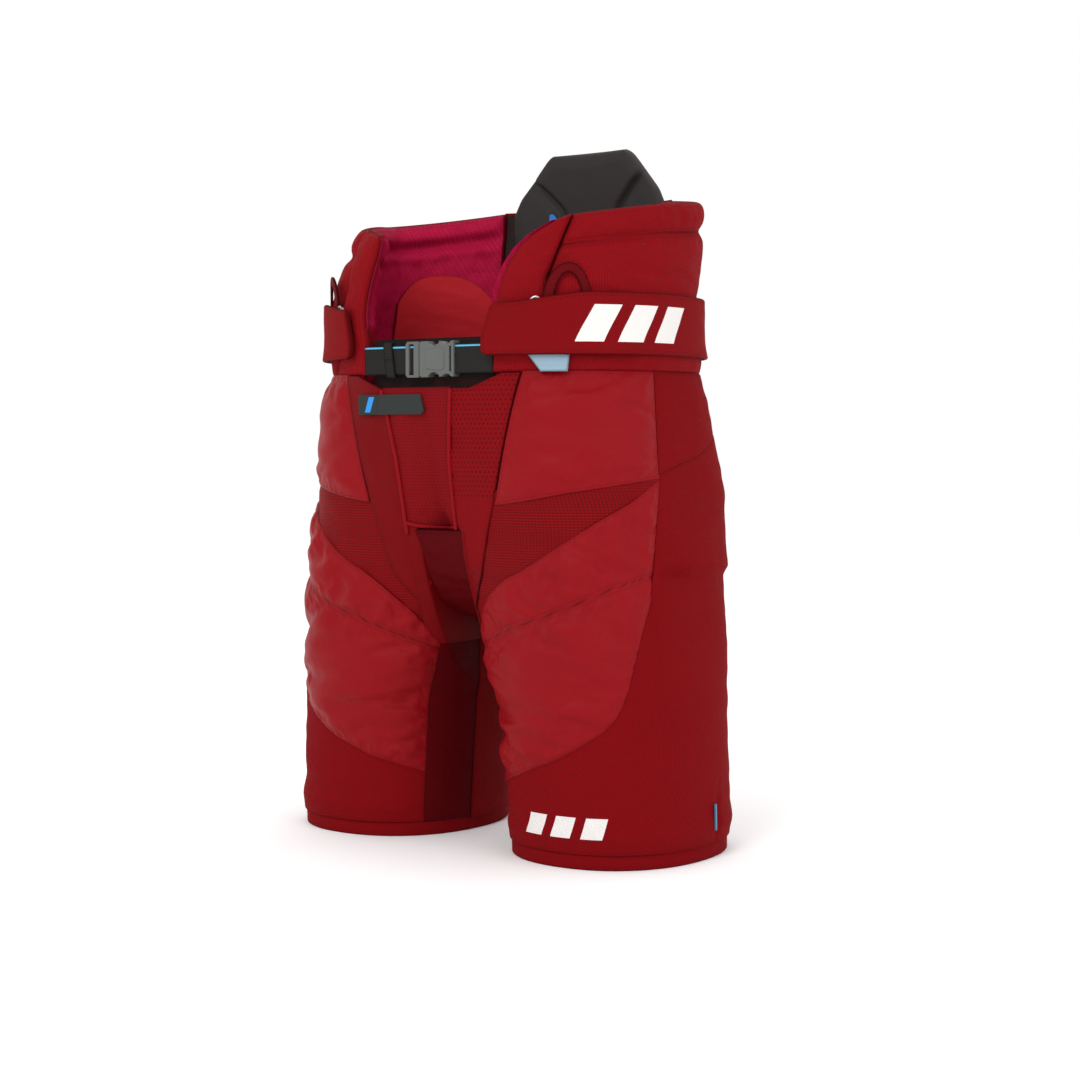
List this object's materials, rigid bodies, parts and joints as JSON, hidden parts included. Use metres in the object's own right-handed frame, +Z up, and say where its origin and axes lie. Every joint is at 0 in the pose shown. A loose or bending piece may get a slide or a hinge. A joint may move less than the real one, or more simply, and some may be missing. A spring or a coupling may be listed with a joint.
{
  "type": "ice hockey pants",
  "caption": "Padded ice hockey pants: belt with side-release buckle, wrap bands, spine guard, fly tab, and stretch hips that let each leg swing forward.",
  "frame": {"origin": "on the floor under the middle of the bounding box, between the two leg hems", "axes": "+Z up, the front of the pants faces -Y, the wearer's left is +X; the hems rest on Z = 0"},
  "size_m": [0.4138, 0.255, 0.616],
  "materials": {
    "nylon": "smooth woven nylon, satin",
    "knit": "knit twill, matt",
    "foam": "moulded closed-cell foam with a knit face",
    "lining": "patterned lining",
    "mesh": "ribbed stretch mesh",
    "webbing": "woven webbing",
    "buckle_plastic": "moulded acetal, satin",
    "white_plastic": "stiff polyethylene sheet",
    "tab": "coated tape",
    "tag": "woven tag",
    "metal": "plated, polished"
  },
  "bodies": {
    "waist": {"front_panel_left": "knit", "front_panel_right": "knit", "hip_panel_left": "nylon", "hip_panel_right": "nylon", "seat_panel_left": "knit", "seat_panel_right": "knit", "yoke_panel_left": "knit", "yoke_panel_right": "knit", "wing_left": "knit", "wing_right": "knit", "kidney_pad_left": "nylon", "kidney_pad_right": "nylon", "lining_left": "lining", "lining_right": "lining", "hip_plate_left": "white_plastic", "hip_plate_right": "white_plastic", "front_button_left": "metal", "front_button_right": "metal", "side_button_left": "metal", "side_button_right": "metal", "hang_loop_left": "webbing", "hang_loop_right": "webbing", "fly_panel": "knit", "crotch_gusset": "nylon", "back_panel": "mesh", "inner_patch_right": "nylon", "tailbone_pad": "foam", "fit_tag_left": "tag", "belt_left": "webbing", "belt_right": "webbing", "buckle_socket": "buckle_plastic", "front_tongue": "webbing", "tab_base": "tab", "hip_stretch_left": "mesh", "hip_stretch_right": "mesh"},
    "leg_left": {"thigh_pad_left": "nylon", "thigh_plate_left": "white_plastic", "lower_panel_left": "knit", "rear_leg_panel_left": "knit", "inner_strip_left": "nylon", "inner_leg_panel_left": "knit", "hem_band_left": "nylon"},
    "leg_right": {"thigh_pad_right": "nylon", "thigh_plate_right": "white_plastic", "lower_panel_right": "knit", "rear_leg_panel_right": "knit", "inner_strip_right": "nylon", "inner_leg_panel_right": "knit", "hem_band_right": "nylon"},
    "buckle_plug": {"buckle_plug": "buckle_plastic", "keeper_loop": "webbing"},
    "prong_upper": {"buckle_prong_upper": "buckle_plastic"},
    "prong_lower": {"buckle_prong_lower": "buckle_plastic"},
    "fly_tab": {"fly_tab": "tab"},
    "wrap_band_left": {"wrap_band_left": "knit"},
    "wrap_band_right": {"wrap_band_right": "knit"},
    "spine_guard": {"spine_guard": "foam"}
  },
  "joints": [
    {"name": "hip_flex_left", "type": "hinge", "parent": "waist", "child": "leg_left", "pos_m": [0.119, -0.00121, 0.305], "axis": [-1, 0, 0], "range_deg": [0, 25], "deforming": ["hip_stretch_left"]},
    {"name": "hip_flex_right", "type": "hinge", "parent": "waist", "child": "leg_right", "pos_m": [-0.119, -0.00121, 0.305], "axis": [-1, 0, 0], "range_deg": [0, 25], "deforming": ["hip_stretch_right"]},
    {"name": "buckle_slide", "type": "slide", "parent": "waist", "child": "buckle_plug", "axis": [-1, 0, 0], "range_m": [0, 0.019]},
    {"name": "prong_upper_pinch", "type": "hinge", "parent": "buckle_plug", "child": "prong_upper", "pos_m": [-0.0076, -0.11541, 0.42475], "axis": [0, 1, 0], "range_deg": [0, 7], "stiffness_Nm_per_rad": 0.02},
    {"name": "prong_lower_pinch", "type": "hinge", "parent": "buckle_plug", "child": "prong_lower", "pos_m": [-0.0076, -0.11541, 0.40725], "axis": [0, -1, 0], "range_deg": [0, 7], "stiffness_Nm_per_rad": 0.02},
    {"name": "fly_tab_lift", "type": "hinge", "parent": "waist", "child": "fly_tab", "pos_m": [-0.05, -0.12671, 0.3785], "axis": [0, 0, -1], "range_deg": [0, 120]},
    {"name": "wrap_band_open_left", "type": "hinge", "parent": "waist", "child": "wrap_band_left", "pos_m": [0.098, 0.10479, 0.443], "axis": [0, 0, 1], "range_deg": [0, 60]},
    {"name": "wrap_band_open_right", "type": "hinge", "parent": "waist", "child": "wrap_band_right", "pos_m": [-0.098, 0.10479, 0.443], "axis": [0, 0, -1], "range_deg": [0, 60]},
    {"name": "spine_guard_tilt", "type": "hinge", "parent": "waist", "child": "spine_guard", "pos_m": [0, 0.1138, 0.471], "axis": [1, 0, 0], "range_deg": [0, 12]}
  ]
}
